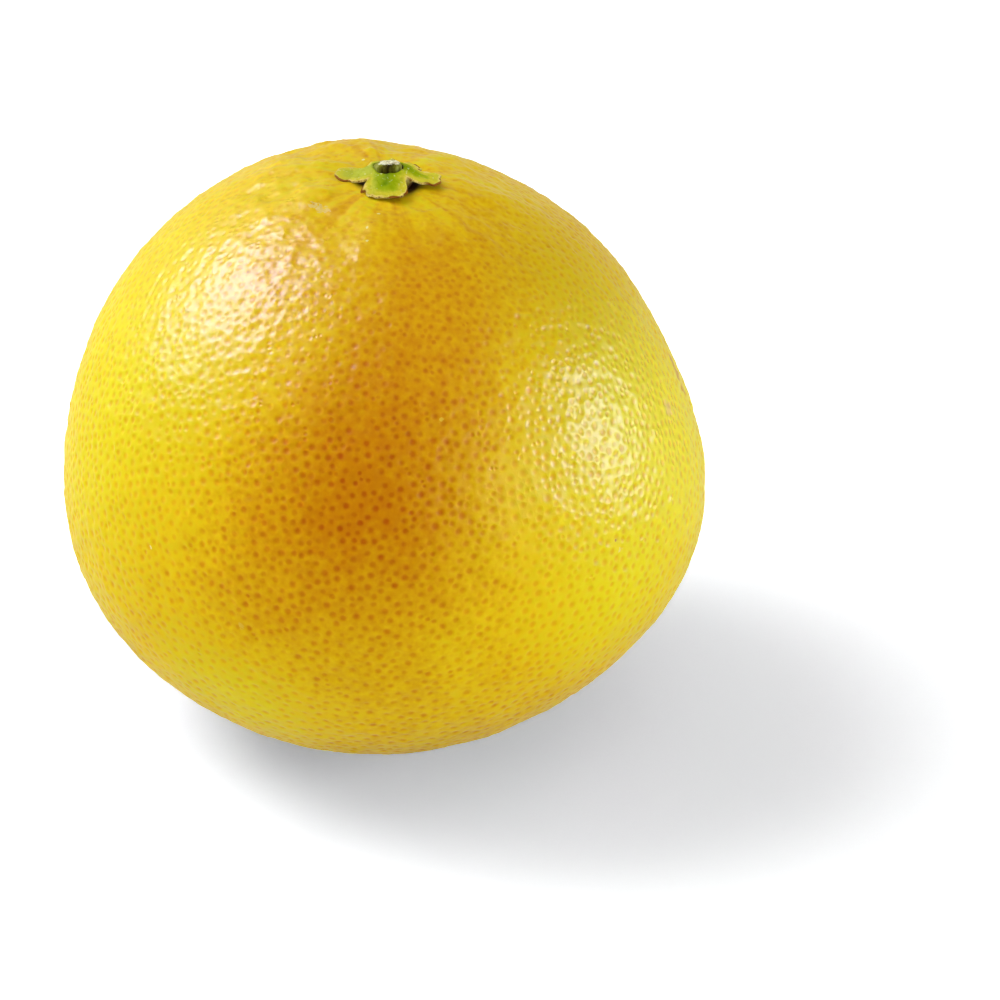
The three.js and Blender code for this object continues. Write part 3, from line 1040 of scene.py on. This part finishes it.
def seenDirectly(tree):
    # 1 for what the camera sees, straight or in a gloss or through glass
    path = put(tree, "ShaderNodeLightPath")
    gloss = mathOf(tree, "MAXIMUM", path.outputs["Is Camera Ray"], path.outputs["Is Glossy Ray"])
    return mathOf(tree, "MAXIMUM", gloss, path.outputs["Is Transmission Ray"])


def tableTop():
    half = table["size"] / 2
    corners = np.array([[-half, -half, 0], [half, -half, 0], [half, half, 0], [-half, half, 0]])
    top = buildMesh("white_table", corners, [[0, 1, 2, 3]])
    finish, tree, shader = newFinish("white_table")
    shader.inputs["Base Color"].default_value = table["white"]
    shader.inputs["Roughness"].default_value = table["roughness"]
    shader.inputs["Specular IOR Level"].default_value = 0.0
    # seen by the camera, the white is lifted so that the shadow stays pale
    seen = put(tree, "ShaderNodeBsdfDiffuse", None, Color=table["seenWhite"]).outputs[0]
    out = lengthOf(tree, put(tree, "ShaderNodeTexCoord").outputs["Object"])
    plain = put(tree, "ShaderNodeEmission", None, Color=plainWhite, Strength=1.0).outputs[0]
    faded = mixOf(tree, rangeOf(tree, out, *table["fade"]), seen, plain)
    mixed = mixOf(tree, seenDirectly(tree), shader.outputs[0], faded)
    tree.links.new(mixed, tree.nodes["Material Output"].inputs["Surface"])
    top.data.materials.append(finish)


# round lamps: the direction from the fruit, half the width as an angle, brightness, distance in metres
skinLamps = {  # these light the surfaces
    "highWindow": ((-0.62, 0.21, 0.76), 18, 2.65, 1.1),
    "lowWindow": ((-0.7, 0.05, 0.7), 18, 1.63, 1.1),
    "wideWindow": ((-0.62, 0.15, 0.76), 26, 0.8, 1.1),
    "sideLamp": ((0.985, -0.08, 0.06), 13, 5.25, 0.6),
    "frontLamp": ((0.67, -0.68, 0.31), 14, 2.2, 0.8),
    "lowFrontLamp": ((0.1, -0.98, 0.15), 14, 1.5, 0.8),
    "leftLamp": ((-0.97, -0.15, 0.08), 14, 3.7, 0.8),
    "backLamp": ((-0.6, 0.75, 0.25), 16, 1.4, 0.8),
    "softCard": ((0.5, -0.4, 0.8), 35, 0.54, 1.0),
}
glossLamps = {  # these are seen only in the surfaces' gloss
    "mainGlow": ((-0.62, 0.27, 0.86), 15, 124, 1.1),
    "mainHaze": ((-0.76, 0.22, 0.6), 18, 42, 1.0),
    "sideGlow": ((0.99, 0.01, 0.16), 10.5, 122, 0.6),
    "sideHaze": ((0.86, -0.34, 0.34), 22, 2.4, 0.7),
    "frontGlow": ((0.76, -0.68, 0.25), 6, 50, 0.8),
}
lampColour = {"skin": (1, 1, 1), "gloss": (0.58, 0.62, 1.0)}  # the gloss shows a cool window
roomBrightness = 0.156
fruitMiddle = Vector(place * millimetre)


def setUp(name, thing, location, aim):
    # puts a lamp or the camera in its place, facing what it is aimed at
    holder = bpy.data.objects.new(name, thing)
    holder.location = location
    holder.rotation_mode = "QUATERNION"
    holder.rotation_quaternion = (location - aim).to_track_quat("Z", "Y")
    bpy.context.collection.objects.link(holder)
    return holder


def hangLamp(name, inGloss, towards, halfAngle, brightness, distance):
    light = bpy.data.lights.new(name, "AREA")
    radius = distance * np.tan(np.radians(halfAngle))
    light.shape = "DISK"
    light.size = 2 * radius
    light.color = lampColour["gloss" if inGloss else "skin"]
    light.energy = np.pi * np.pi * radius ** 2 * brightness  # a disc gives pi * area * brightness
    light.cycles.use_multiple_importance_sampling = inGloss
    location = fruitMiddle + Vector(towards).normalized() * distance
    holder = setUp(name, light, location, fruitMiddle)
    holder.visible_camera = False
    holder.visible_glossy = inGloss
    holder.visible_diffuse = not inGloss


def lightTheTable():
    for name, lamp in skinLamps.items():
        hangLamp(name, False, *lamp)
    for name, lamp in glossLamps.items():
        hangLamp(name, True, *lamp)
    world = bpy.data.worlds.new("studio")
    bpy.context.scene.world = world
    world.use_nodes = True
    world.cycles.sampling_method = "NONE"
    tree = world.node_tree
    room = put(tree, "ShaderNodeBackground", None, Color=plainWhite, Strength=roomBrightness).outputs[0]
    backdrop = put(tree, "ShaderNodeBackground", None, Color=plainWhite, Strength=1.0).outputs[0]
    mixed = mixOf(tree, seenDirectly(tree), room, backdrop)
    tree.links.new(mixed, tree.nodes["World Output"].inputs["Surface"])


viewpoint = {
    "elevation": 29,  # degrees above the table
    "distance": 0.650,
    "fieldWidth": 0.157,  # metres across at that distance
    "sensor": 36,
    "right": 0.0186,  # how far beside and below the fruit's middle the camera looks
    "down": 0.0080,
}


def placeCamera():
    v = viewpoint
    slope = np.radians(v["elevation"])
    back, up = Vector((0, -np.cos(slope), np.sin(slope))), Vector((0, np.sin(slope), np.cos(slope)))
    camera = bpy.data.cameras.new("camera")
    camera.sensor_width = v["sensor"]
    camera.lens = v["sensor"] * v["distance"] / v["fieldWidth"]
    location = fruitMiddle + back * v["distance"]
    aim = fruitMiddle + Vector((v["right"], 0, 0)) - up * v["down"]
    bpy.context.scene.camera = setUp("camera", camera, location, aim)


tableTop()
lightTheTable()
placeCamera()
bpy.context.scene.view_settings.view_transform = "Standard"
print("table, lamps and camera placed")
